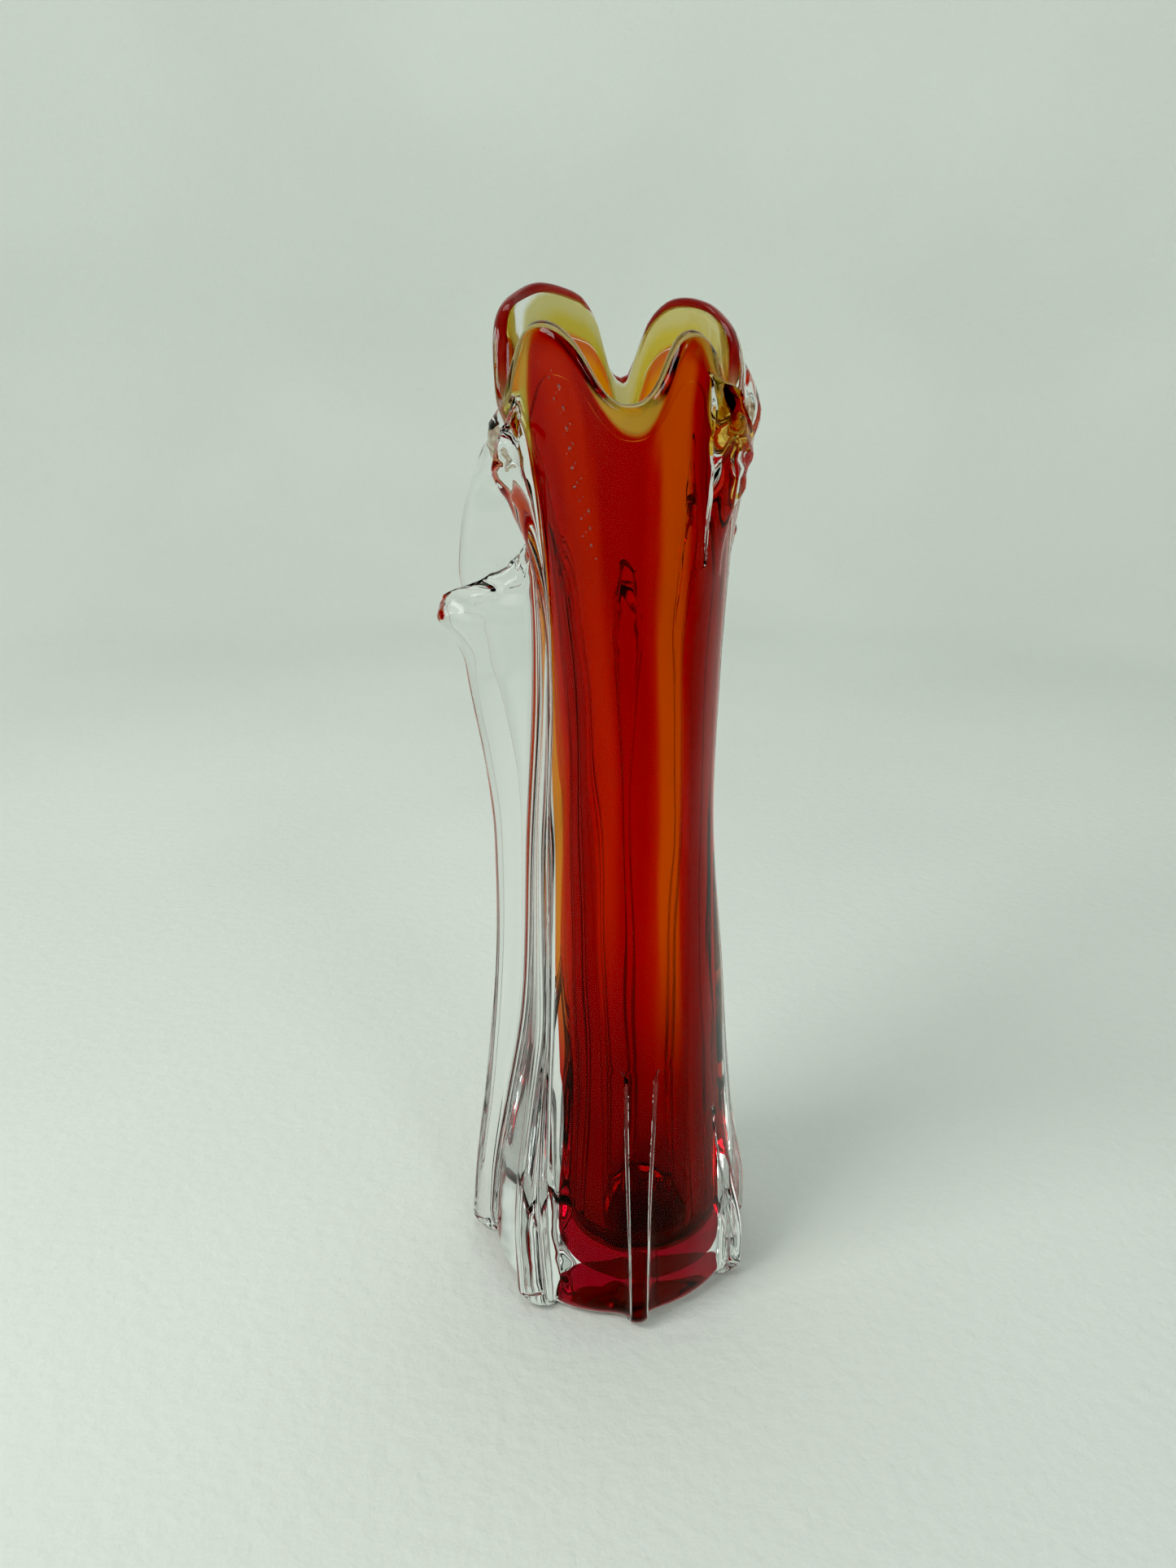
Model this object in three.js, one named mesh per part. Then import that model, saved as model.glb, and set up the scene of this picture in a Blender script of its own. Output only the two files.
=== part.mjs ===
// Hand-blown cased glass vase: a red bubble with a yellow collar inside a thick clear gather, a red edge on a
// mouth that is pulled into four lobes, and eight clear ribs drawn up the outside, seven of them ending in a
// pinched thorn. Millimetres, +Z up. The origin is on the ground flat that the vase stands on, 4 mm behind
// the flat's middle, and the front is -Y. An azimuth is in degrees about +Z from the front, positive
// towards +X.
import * as THREE from "three";

const { sin, cos, abs, max, min, PI } = Math;
const { lerp, clamp, degToRad } = THREE.MathUtils;

// The form as it is blown, with its mouth still round.
const WALL_TOP = 294.2; // top of the wall, under the rounded edge
const CREST_Z = 299.3; // the mouth's crest
const EDGE_TOP = 300; // top of the edge
const FLAT_RADIUS = 38; // the ground flat under the foot
const FOOT_ROUND = 6; // radius of the foot's edge
const COLOUR_FLOOR = 3; // clear glass under the colour
const COLOUR_ROUND = 9; // radius of the bubble's bottom corner
const HOLLOW_FLOOR = 12; // height of the hollow's floor
const HOLLOW_ROUND = 12;
const COLLAR_FROM = 290; // bottom of the yellow collar
const EDGE_RADIUS = 2.1; // section of the red edge
const SEAM = 0.3; // gap kept between two pieces of glass
const RIM_SEAM = 1.2; // what is added to it under a rib where the mouth is pulled most
const PULL = { from: 205, to: 296 }; // the pull that makes the lobes: where it starts, and where it is whole

// Radius of each surface of the round form at its heights, and how far its middle lies towards +X and -Y.
const OUTER = [
  [6, 44], [30, 42.6], [60, 38.6], [90, 34.8], [112, 33], [165, 29.5], [215, 28.4], [250, 29.4], [280, 32.3],
  [300, 37],
];
const BORE = [
  [0, 20.5], [30, 20.3], [60, 19.4], [90, 19], [165, 19], [215, 19.7], [250, 22], [270, 24.6], [280, 26.2],
  [290, 29], [300, 33.2],
];
const CASING_SHIFT = [
  [0, 0], [40, 1.4], [90, 3.4], [112, 3.5], [165, 2], [215, 3.2], [250, 3.2], [280, 1.4], [300, -1.5],
];
const CASING_ADVANCE = [[0, 4], [40, 3], [112, 0.8], [165, 0]];
const BUBBLE_SHIFT = [
  [0, 8], [40, 8], [90, 7.7], [112, 7], [165, 6], [215, 5.3], [250, 4.4], [270, 2.8], [280, 1.7], [290, 0.2],
  [300, -1.5],
];
const BUBBLE_ADVANCE = [[0, 8], [40, 6], [112, 2], [165, 0]];
const COLOUR_WALL = 2.2; // the bubble's own wall

// The crest of the pulled mouth: azimuth and height, from the back round to the back again.
const MOUTH = [
  [-185, 303.2], [-178, 305.8], [-173.6, 313], [-169.5, 320.2], [-163.6, 325.6], [-157.5, 328.5], [-137, 331],
  [-119, 328.6], [-100, 324.2], [-90, 318], [-83, 309.5], [-77, 302.5], [-70, 299.6], [-63, 303], [-56, 311],
  [-48, 318], [-40, 320], [-32, 319.2], [-24.5, 316.4], [-18.5, 312.5], [-8.8, 304], [-2, 300.2],
  [4.2, 299.3], [10, 299.9], [15.3, 302.4], [20, 306.7], [24, 312], [29, 316.2], [35, 317.6], [41, 316.8],
  [47, 313.6], [52, 308], [57, 302.6], [63, 300], [71, 301.8], [80, 307.3], [90, 313.6], [100, 318.4],
  [114, 322.7], [125, 325.3], [138, 326.7], [148, 326.3], [155, 324], [161, 320.2], [165, 315.2],
  [169, 309.2], [172, 305.2], [175, 303.2],
];

// The ribs in their order round the vase, as stations of height and value: the azimuth of the blade's middle,
// how far it stands out of the wall, and how far its edge is drawn up at its thorn.
const RIBS = [
  {
    name: "back",
    azimuths: [[0, -171], [165, -172], [290, -172]],
    reach: [
      [1, 8], [60, 5], [110, 4], [165, 3], [205, 5], [216, 11], [222, 14], [227, 12], [232, 5], [242, 1],
    ],
    lift: [[205, 0], [222, 5], [235, 5], [242, 2]],
  },
  {
    name: "back_left",
    azimuths: [[0, -134], [165, -121], [250, -108], [290, -101]],
    reach: [
      [1, 9], [60, 11], [112, 12], [165, 14], [205, 20], [228, 25.5], [239.5, 28.7], [247, 27.5], [257, 24],
      [266, 18], [270, 14], [275, 10], [280, 5], [285, 1],
    ],
    lift: [[255, 0], [270, 2], [285, 2]],
  },
  {
    name: "left",
    azimuths: [[0, -95], [165, -91], [235, -86], [290, -76]],
    reach: [
      [1, 9.6], [31, 9.7], [60, 10.9], [91, 12.5], [145, 12.6], [168, 13.8], [190, 17.4], [214, 22.2],
      [226, 25.7], [230, 28.8], [234, 30.2], [240, 23], [246, 7.5], [250, 3.5], [254, 1],
    ],
    lift: [[215, 0], [233, 1.5], [256, 3]],
  },
  {
    name: "front_left",
    azimuths: [[0, -38], [60, -50], [112, -58], [165, -62], [250, -64], [290, -62]],
    reach: [
      [1, 6.4], [40, 6], [70, 4], [100, 1.8], [165, 1], [235, 1.2], [258, 3.5], [270, 8], [277, 10], [282, 8],
      [289, 2],
    ],
    lift: [[262, 0], [278, 4], [291, 4]],
  },
  {
    name: "front",
    azimuths: [[0, 9], [84, 7]],
    reach: [[1, 6], [14, 5.5], [40, 3.4], [70, 1], [88, 0.6]],
    lift: [[0, 0], [90, 0]],
  },
  {
    name: "front_right",
    azimuths: [[0, 64], [60, 60], [165, 57], [250, 53], [290, 50]],
    reach: [
      [1, 6], [20, 6], [40, 3], [60, 1.4], [100, 0.9], [165, 0.8], [240, 1], [262, 3], [272, 7], [280, 9.5],
      [285, 9], [290, 4],
    ],
    lift: [[258, 0], [276, 6], [285, 9], [292, 9]],
  },
  {
    name: "right",
    azimuths: [[0, 101], [165, 97], [290, 92]],
    reach: [
      [1, 6], [20, 5.5], [50, 2], [90, 1], [165, 0.8], [210, 0.9], [250, 1.2], [264, 3], [274, 5], [282, 6.5],
      [290, 3],
    ],
    lift: [[262, 0], [282, 3], [293, 3]],
  },
  {
    name: "back_right",
    azimuths: [[0, 143], [165, 136], [290, 124]],
    reach: [
      [1, 9], [60, 7], [112, 5.5], [165, 4.5], [225, 6], [238, 9], [246, 13], [250, 14.2], [254, 12],
      [259, 4], [268, 1],
    ],
    lift: [[234, 0], [248, 4], [272, 2]],
  },
];
const RIB_HALF_ANGLE = 13; // half of the angle that a rib covers on the wall, where its neighbours leave room
const RIB_SHARE = 0.46; // most of the way to a neighbour that it covers

// Mesh steps.
const TURN_STEPS = 60;
const WALL = [6, 30, 60, 90, 120, 150, 180, 205, 225, 243, 259, 273, 284, COLLAR_FROM, WALL_TOP];
const RIB_OUTER_POINTS = 9; // points across a rib's blade
const RIB_ROOT_POINTS = 3; // points between its two edges along the wall

const CLEAR = new THREE.MeshStandardMaterial({ color: 0xe9eeea, roughness: 0.03 });
const RED = new THREE.MeshStandardMaterial({ color: 0xb01806, roughness: 0.05 });
const YELLOW = new THREE.MeshStandardMaterial({ color: 0xdfc23a, roughness: 0.05 });
const CRIMSON = new THREE.MeshStandardMaterial({ color: 0x7d1410, roughness: 0.05 });

/** A smooth curve through the stations [position, value], held at its ends. */
function through(stations) {
  const slope = (i) => {
    const [a, b] = [stations[max(i - 1, 0)], stations[min(i + 1, stations.length - 1)]];
    return (b[1] - a[1]) / (b[0] - a[0]);
  };
  return (position) => {
    const x = clamp(position, stations[0][0], stations.at(-1)[0]);
    const i = clamp(stations.findIndex((s) => s[0] >= x) - 1, 0, stations.length - 2);
    const [[x0, y0], [x1, y1]] = [stations[i], stations[i + 1]];
    const t = (x - x0) / (x1 - x0);
    const bend = (x1 - x0) * t * (1 - t) * ((1 - t) * slope(i) - t * slope(i + 1));
    return lerp(y0, y1, t * t * (3 - 2 * t)) + bend;
  };
}

const outerRadius = through(OUTER);
const boreRadius = through(BORE);
const crest = through(MOUTH);
const middleOf = (shift, advance) => (z) => ({ x: shift(z), y: -advance(z) });
const casingMiddle = middleOf(through(CASING_SHIFT), through(CASING_ADVANCE));
const bubbleMiddle = middleOf(through(BUBBLE_SHIFT), through(BUBBLE_ADVANCE));

/** Share of the mouth's lift that a height takes. */
const pullShare = (z) => clamp((z - PULL.from) / (PULL.to - PULL.from), 0, 1.1) ** 2;

/** Height that the mouth gains at an azimuth: round lobes between narrower dips. */
function mouthLift(azimuth) {
  const start = MOUTH[0][0];
  return (crest(((azimuth - start + 720) % 360) + start) - CREST_Z) / pullShare(CREST_Z);
}

/** A point of the round form, carried to where the pulled mouth takes it. */
function pulled(azimuth, radius, z, middle, share = pullShare(z)) {
  const a = degToRad(azimuth);
  const height = z + share * mouthLift(azimuth);
  return new THREE.Vector3(radius * sin(a) + middle.x, -radius * cos(a) + middle.y, height);
}

/** Moves each vertex of a geometry to where place(vertex, index) says. */
function reshape(geometry, place) {
  const positions = geometry.getAttribute("position");
  const vertex = new THREE.Vector3();
  for (let i = 0; i < positions.count; i++) {
    const moved = place(vertex.fromBufferAttribute(positions, i), i);
    positions.setXYZ(i, moved.x, moved.y, moved.z);
  }
  return geometry;
}

/** A profile of points { r, z, inside } turned about +Z and pulled at its mouth. */
function turned(profile) {
  const lathe = new THREE.LatheGeometry(profile.map((p) => new THREE.Vector2(p.r, p.z)), TURN_STEPS);
  return reshape(lathe, (v, i) => {
    const { r, z, inside } = profile[i % profile.length];
    const azimuth = (Math.floor(i / profile.length) % TURN_STEPS) * (360 / TURN_STEPS);
    return pulled(azimuth, r, z, (inside ? bubbleMiddle : casingMiddle)(z));
  });
}

/** Points of a rounded corner from a floor out to a wall. */
function corner(wallRadius, floorZ, round, steps = 4) {
  return Array.from({ length: steps + 1 }, (_, i) => {
    const a = (i / steps) * (PI / 2);
    return { r: wallRadius - round * (1 - sin(a)), z: floorZ + round * (1 - cos(a)) };
  });
}

/** The wall's stations above a height, as points at the bore's radius less an inset. */
function boreWall(above, inset) {
  return WALL.filter((z) => z > above + 5).map((z) => ({ r: boreRadius(z) - inset, z }));
}

const inside = (points) => points.map((p) => ({ ...p, inside: true }));

/** A cup's inner or outer skin, from the axis at its floor, round the corner and up the bore. */
function cupSkin(floorZ, inset, round) {
  const wall = boreRadius(floorZ + round) - inset;
  return inside([{ r: 0, z: floorZ }, ...corner(wall, floorZ, round), ...boreWall(floorZ + round, inset)]);
}

/** The clear gather: wall, floor, and the bore that holds the bubble. */
function clearCasing() {
  const top = WALL.map((z) => ({ r: outerRadius(z), z }));
  return turned([
    { r: 0, z: 0 },
    ...corner(FLAT_RADIUS + FOOT_ROUND, 0, FOOT_ROUND).slice(0, -1),
    ...top,
    ...cupSkin(COLOUR_FLOOR - SEAM, -SEAM, COLOUR_ROUND).reverse(),
  ]);
}

/** The red bubble: a thick floor and a thin wall that ends under the collar. */
function colourBubble() {
  const belowCollar = (p) => p.z <= COLLAR_FROM;
  return turned([
    ...cupSkin(COLOUR_FLOOR, 0, COLOUR_ROUND).filter(belowCollar),
    ...cupSkin(HOLLOW_FLOOR, COLOUR_WALL, HOLLOW_ROUND).filter(belowCollar).reverse(),
  ]);
}

/** The yellow collar that carries the bubble's wall on to the mouth. */
function yellowCollar() {
  const side = (inset) => [COLLAR_FROM + 2 * SEAM, WALL_TOP].map((z) => ({ r: boreRadius(z) - inset, z }));
  const [low, high] = side(0);
  const [lowInner, highInner] = side(COLOUR_WALL);
  return turned(inside([low, high, highInner, lowInner, low]));
}

/** The red edge that rounds off the mouth. */
function redEdge() {
  const middle = (outerRadius(WALL_TOP) + boreRadius(WALL_TOP) - COLOUR_WALL) / 2;
  const section = Array.from({ length: 9 }, (_, i) => {
    const a = (i / 8) * 2 * PI;
    return { r: middle + EDGE_RADIUS * cos(a), z: EDGE_TOP - EDGE_RADIUS * (1 - sin(a)) };
  });
  return turned(section);
}

const ribAzimuths = RIBS.map((spec) => through(spec.azimuths));

/** Half of the angle that a rib covers on the wall at a height. */
function halfAngle(index, z) {
  const apart = [index - 1, index + 1].map((other) => {
    const gap = ribAzimuths[index](z) - ribAzimuths[(other + RIBS.length) % RIBS.length](z);
    return abs(((gap + 540) % 360) - 180);
  });
  return min(RIB_HALF_ANGLE, RIB_SHARE * min(...apart));
}

/** A value of the wall at a height, as the straight facets between the wall's stations give it. */
function alongWall(z, value) {
  const i = clamp(WALL.findIndex((station) => station >= z) - 1, 0, WALL.length - 2);
  const t = (z - WALL[i]) / (WALL[i + 1] - WALL[i]);
  return lerp(value(WALL[i]), value(WALL[i + 1]), t);
}

/** Heights of a rib's rings: the wall's stations, and its own where none of those is near. */
function ribRings(stations) {
  const heights = stations.map(([z]) => z);
  const [bottom, top] = [heights[0], heights.at(-1)];
  const walls = WALL.filter((z) => z > bottom + 2 && z < top - 2);
  const own = heights.filter((z) => walls.every((station) => abs(station - z) > 2));
  return [...own, ...walls].sort((a, b) => a - b);
}

/** A rib: a closed tube of rings whose inner side follows the wall and whose outer side is a blade. */
function rib(spec, index) {
  const rings = ribRings(spec.reach);
  const [reach, draw] = [through(spec.reach), through(spec.lift)];
  const sides = RIB_OUTER_POINTS + RIB_ROOT_POINTS;
  const blade = (x) => max(0, (1 / (1 + (abs(x) / 0.42) ** 4) - 0.03) / 0.97);
  const tube = new THREE.CylinderGeometry(1, 1, 1, sides, rings.length - 1);
  return reshape(tube, (v) => {
    const z = rings[Math.round((v.y + 0.5) * (rings.length - 1))];
    const isCapMiddle = v.x ** 2 + v.z ** 2 < 0.01;
    const point = Math.round((Math.atan2(v.x, v.z) / (2 * PI)) * sides + sides) % sides;
    const onBlade = point < RIB_OUTER_POINTS;
    const alongRoot = (point - RIB_OUTER_POINTS + 1) / (RIB_ROOT_POINTS + 1);
    const x = isCapMiddle ? 0 : onBlade ? 2 * (point / (RIB_OUTER_POINTS - 1)) - 1 : 1 - 2 * alongRoot;
    const out = isCapMiddle ? 0.3 : onBlade ? blade(x) : 0;
    const half = halfAngle(index, z);
    const share = alongWall(z, pullShare);
    const middle = { x: alongWall(z, (h) => casingMiddle(h).x), y: alongWall(z, (h) => casingMiddle(h).y) };
    const gap = (SEAM + RIM_SEAM * share) / cos(degToRad(half));
    const root = alongWall(z, outerRadius) + gap + (onBlade ? 0.4 : 0);
    const azimuth = ribAzimuths[index](z) + x * half;
    return pulled(azimuth, root + out * reach(z), z + draw(z) * out ** 2, middle, share);
  });
}

/** A named piece of the vase. */
function piece(name, geometry, material) {
  const mesh = new THREE.Mesh(geometry, material);
  mesh.name = name;
  return mesh;
}

const vase = new THREE.Group();
vase.add(
  piece("clear_casing", clearCasing(), CLEAR),
  piece("colour_bubble", colourBubble(), RED),
  piece("yellow_collar", yellowCollar(), YELLOW),
  piece("red_edge", redEdge(), CRIMSON),
  ...RIBS.map((spec, i) => piece(`rib_${spec.name}`, rib(spec, i), CLEAR)),
);

export default vase;
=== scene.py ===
"""A hand-blown cased glass vase: a red and orange bubble in thick clear glass with eight pulled ribs.

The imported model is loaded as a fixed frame, and each piece is built round it in metres, with +Z up and the
front towards -Y. Lengths in the dataclasses are millimetres. Azimuths are degrees about +Z from the front,
positive towards +X.
"""

from __future__ import annotations

import logging
import math
from dataclasses import dataclass, field
from functools import lru_cache
from typing import Callable

import bmesh
import bpy
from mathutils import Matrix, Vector, noise

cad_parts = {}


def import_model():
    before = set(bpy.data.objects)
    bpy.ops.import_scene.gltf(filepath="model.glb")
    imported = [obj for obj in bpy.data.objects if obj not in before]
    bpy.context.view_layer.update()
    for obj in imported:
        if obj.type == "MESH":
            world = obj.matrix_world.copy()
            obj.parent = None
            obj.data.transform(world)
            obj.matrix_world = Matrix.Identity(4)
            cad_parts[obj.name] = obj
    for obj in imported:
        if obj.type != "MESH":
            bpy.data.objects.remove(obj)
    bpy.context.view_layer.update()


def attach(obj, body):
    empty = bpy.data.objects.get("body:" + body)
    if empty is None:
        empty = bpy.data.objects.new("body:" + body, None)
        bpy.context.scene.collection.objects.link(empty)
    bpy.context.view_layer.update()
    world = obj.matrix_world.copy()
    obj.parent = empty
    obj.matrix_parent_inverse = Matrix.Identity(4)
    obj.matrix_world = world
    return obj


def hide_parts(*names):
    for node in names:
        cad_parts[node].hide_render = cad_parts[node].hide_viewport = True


log = logging.getLogger("vase")

MM = 0.001
Colour = tuple[float, float, float]
Point = tuple[float, float, float]
Stations = tuple[tuple[float, float], ...]


# -------- shader maths


class Value:
    """A shader socket that takes part in Python arithmetic."""

    def __init__(self, shader: "Shader", socket: bpy.types.NodeSocket) -> None:
        """Wraps an output socket that carries a number in a shader's tree."""
        self.shader = shader
        self.socket = socket

    def __add__(self, other: "Value | float") -> "Value":
        """Sum of two values."""
        return self.shader.math("ADD", self, other)

    def __sub__(self, other: "Value | float") -> "Value":
        """Difference of two values."""
        return self.shader.math("SUBTRACT", self, other)

    def __rsub__(self, other: float) -> "Value":
        """Difference with a number on the left."""
        return self.shader.math("SUBTRACT", other, self)

    def __mul__(self, other: "Value | float") -> "Value":
        """Product of two values."""
        return self.shader.math("MULTIPLY", self, other)

    def __rmul__(self, other: float) -> "Value":
        """Product with a number on the left."""
        return self.shader.math("MULTIPLY", other, self)

    def __truediv__(self, other: "Value | float") -> "Value":
        """Quotient of two values."""
        return self.shader.math("DIVIDE", self, other)

    def ramp(self, low: float, high: float) -> "Value":
        """The value carried smoothly from 0 at low to 1 at high."""
        made = self.shader.node(
            "ShaderNodeMapRange",
            {"interpolation_type": "SMOOTHSTEP"},
            {0: self, 1: low, 2: high, 3: 0.0, 4: 1.0},
        )
        return Value(self.shader, made.outputs[0])


class Shader:
    """A material's node tree, with one method for each kind of use."""

    def __init__(self, name: str) -> None:
        """Makes an empty material of a given name."""
        self.material = bpy.data.materials.new(name)
        self.material.use_nodes = True
        self.tree = self.material.node_tree
        self.tree.nodes.clear()

    def node(self, kind: str, settings: dict[str, object], inputs: dict[int | str, object]) -> bpy.types.Node:
        """Adds a node of a type, with its own properties set first, and returns it.

        Each input, by index or name, is given a number or colour, a Value or an output socket.
        """
        made = self.tree.nodes.new(kind)
        for name, setting in settings.items():
            setattr(made, name, setting)
        for key, given in inputs.items():
            if isinstance(given, Value):
                self.tree.links.new(given.socket, made.inputs[key])
            elif isinstance(given, bpy.types.NodeSocket):
                self.tree.links.new(given, made.inputs[key])
            else:
                made.inputs[key].default_value = given
        return made

    def math(self, operation: str, *terms: "Value | float") -> Value:
        """Adds a Math node on some terms and returns its output."""
        made = self.node("ShaderNodeMath", {"operation": operation}, dict(enumerate(terms)))
        return Value(self, made.outputs[0])

    def position(self) -> bpy.types.NodeSocket:
        """The point's own coordinates in metres."""
        return self.node("ShaderNodeTexCoord", {}, {}).outputs["Object"]

    def azimuth(self) -> Value:
        """The direction that the mesh's east and south attributes give, in degrees from the front."""
        return self.math("ARCTAN2", self.attribute("east"), self.attribute("south")) * (180 / math.pi)

    def attribute(self, name: str) -> Value:
        """A number that the mesh carries on its points."""
        made = self.node("ShaderNodeAttribute", {"attribute_name": name}, {})
        return Value(self, made.outputs["Fac"])

    def stretched(self, across: float, along: float) -> bpy.types.NodeSocket:
        """Coordinates scaled across the vase and along its height, for a noise that runs in streaks."""
        return self.node("ShaderNodeMapping", {}, {0: self.position(), 3: (across, across, along)}).outputs[0]

    def noise(self, vector: bpy.types.NodeSocket, scale: float, detail: float = 2.0) -> Value:
        """A noise in 0 to 1, with scale features in a unit of the vector and detail octaves."""
        made = self.node("ShaderNodeTexNoise", {}, {"Vector": vector, "Scale": scale, "Detail": detail})
        return Value(self, made.outputs["Fac"])

    def mix(self, share: "Value | float", first: object, second: object) -> bpy.types.NodeSocket:
        """Blends two colours or sockets, where a share of 0 gives the first and 1 the second."""
        pair = [(*c, 1.0) if isinstance(c, tuple) else c for c in (first, second)]
        made = self.node("ShaderNodeMix", {"data_type": "RGBA"}, {0: share, 6: pair[0], 7: pair[1]})
        return made.outputs[2]

    def ramp(self, share: Value, stops: tuple[tuple[float, Colour], ...]) -> bpy.types.NodeSocket:
        """A colour from a ramp of stops, each a place and a colour."""
        made = self.node("ShaderNodeValToRGB", {}, {0: share})
        points = made.color_ramp.elements
        while len(points) < len(stops):
            points.new(0.5)
        for point, (place, colour) in zip(points, stops):
            point.position = place
            point.color = (*colour, 1.0)
        return made.outputs[0]

    def bump(self, height: Value, distance: float, strength: float = 1.0) -> bpy.types.NodeSocket:
        """A normal from a height of 0 to 1, where 1 stands distance metres out."""
        made = self.node("ShaderNodeBump", {}, {"Height": height, "Distance": distance, "Strength": strength})
        return made.outputs[0]

    def shade(self, **sockets: object) -> bpy.types.NodeSocket:
        """Adds a Principled shader with inputs named with _ for a space, and returns its output."""
        return self.node(
            "ShaderNodeBsdfPrincipled", {}, {k.replace("_", " "): v for k, v in sockets.items()},
        ).outputs[0]

    def surface(self, **sockets: object) -> bpy.types.Material:
        """Ends the tree in a Principled shader with such inputs and returns the material."""
        self.node("ShaderNodeOutputMaterial", {}, {0: self.shade(**sockets)})
        return self.material

    def blended(self, share: Value, first: object, second: object) -> bpy.types.Material:
        """Ends the tree in a blend of two shaders' outputs and returns the material."""
        made = self.node("ShaderNodeMixShader", {}, {0: share, 1: first, 2: second})
        self.node("ShaderNodeOutputMaterial", {}, {0: made.outputs[0]})
        return self.material


# -------- finishes


@dataclass(frozen=True)
class ClearFinish:
    """Fire-polished clear glass, faintly grey."""

    tint: Colour = (0.975, 0.98, 0.975)
    ior: float = 1.5
    polish: float = 0.45

    def material(self) -> bpy.types.Material:
        """Makes the material, a smooth glass with a very low swell, as hot glass sets, and returns it."""
        s = Shader("clear_glass")
        swell = s.noise(s.stretched(60.0, 14.0), 1.0, 1.0)
        return s.surface(
            Base_Color=(*self.tint, 1.0), Roughness=0.0, IOR=self.ior, Transmission_Weight=1.0,
            Specular_Tint=(self.polish, self.polish, self.polish, 1.0), Normal=s.bump(swell, 0.0006),
        )


@dataclass(frozen=True)
class ColourFinish:
    """Red and orange glass in upright streaks, dark at the floor, yellow and then clear at the mouth.

    Attributes:
        sole: what one surface lets through under the hollow.
        floor: the same round the hollow's floor.
        low: the same low on the wall.
        red: the same in a red streak, and so on for scarlet, orange and crimson.
        flame: what tinges the streaks under the yellow.
        yellow: the band at the mouth.
        straw: the paler part of that band.
        opal: the milky glass in the band.
        milk: how much of it there is.
        sway: how far a streak wanders, in degrees.
        fray: how far its edge does.
        sole_rise: the rise where the sole's colour gives way, and so on for floor and low.
        flame_reach: where the mesh's gold turns to flame, and so on for gilt and straw.
        bare_reach: where its clear turns to colourless glass.
    """

    sole: Colour = (0.30, 0.0, 0.012)
    floor: Colour = (0.36, 0.0, 0.010)
    low: Colour = (0.48, 0.001, 0.008)
    red: Colour = (0.57, 0.006, 0.002)
    scarlet: Colour = (0.70, 0.045, 0.004)
    orange: Colour = (0.84, 0.27, 0.02)
    crimson: Colour = (0.58, 0.003, 0.02)
    flame: Colour = (0.60, 0.02, 0.05)
    yellow: Colour = (0.90, 0.74, 0.10)
    straw: Colour = (0.95, 0.90, 0.52)
    opal: Colour = (0.96, 0.84, 0.18)
    milk: float = 0.36
    sway: float = 26.0
    fray: float = 16.0
    sole_rise: tuple[float, float] = (12.0, 22.0)
    floor_rise: tuple[float, float] = (8.0, 46.0)
    low_rise: tuple[float, float] = (50.0, 135.0)
    flame_reach: tuple[float, float] = (-0.35, 0.25)
    gilt_reach: tuple[float, float] = (0.30, 0.62)
    straw_reach: tuple[float, float] = (0.7, 1.5)
    bare_reach: tuple[float, float] = (0.4, 0.7)

    def streaks(self) -> tuple[tuple[float, Colour], ...]:
        """Azimuth and colour of each streak, from the back by the left and the front to the back again."""
        return (
            (-180, self.orange), (-100, self.orange), (-84, self.orange), (-76, self.red), (-50, self.red),
            (-40, self.scarlet), (-28, self.scarlet), (-20, self.red), (2, self.red), (12, self.scarlet),
            (17, self.orange), (36, self.orange), (42, self.crimson), (80, self.crimson), (100, self.scarlet),
            (118, self.orange), (180, self.orange),
        )

    def material(self, name: str) -> bpy.types.Material:
        """Makes the material under a given name, from the rise along the wall and streaks round it."""
        s = Shader(name)
        rise = s.attribute("rise")
        azimuth = s.azimuth()
        sway = s.noise(s.stretched(30.0, 7.0), 1.0, 2.0) - 0.5
        fine = s.noise(s.stretched(260.0, 5.0), 1.0, 2.0) - 0.5
        place = (azimuth + self.sway * sway + self.fray * fine + 180.0) / 360.0
        colour = s.ramp(place, tuple(((a + 180) / 360, c) for a, c in self.streaks()))
        drift = s.noise(s.stretched(45.0, 4.0), 1.0, 1.0) - 0.5
        colour = s.mix(1.0 - (rise + 70.0 * drift).ramp(*self.low_rise), colour, self.low)
        colour = s.mix(1.0 - (rise + 14.0 * drift).ramp(*self.floor_rise), colour, self.floor)
        colour = s.mix(1.0 - rise.ramp(*self.sole_rise), colour, self.sole)
        cloud = s.noise(s.stretched(65.0, 34.0), 1.0, 2.0) - 0.5
        gold = s.attribute("gold") + 0.25 * cloud
        colour = s.mix(gold.ramp(*self.flame_reach), colour, s.mix(0.5, colour, self.flame))
        pale = (s.attribute("gold") + 1.4 * cloud).ramp(*self.straw_reach)
        yellow = s.mix(pale, self.yellow, self.straw)
        gilt = gold.ramp(*self.gilt_reach)
        bare = (s.attribute("clear") + 0.5 * cloud).ramp(*self.bare_reach)
        colour = s.mix(bare, s.mix(gilt, colour, yellow), (1.0, 1.0, 1.0))
        glass = s.shade(Base_Color=colour, Roughness=0.0, IOR=1.0, Transmission_Weight=1.0)
        milky = s.shade(Base_Color=(*self.opal, 1.0), Roughness=0.6, Specular_IOR_Level=0.0)
        return s.blended(self.milk * gilt * (1.0 - bare), glass, milky)


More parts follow.
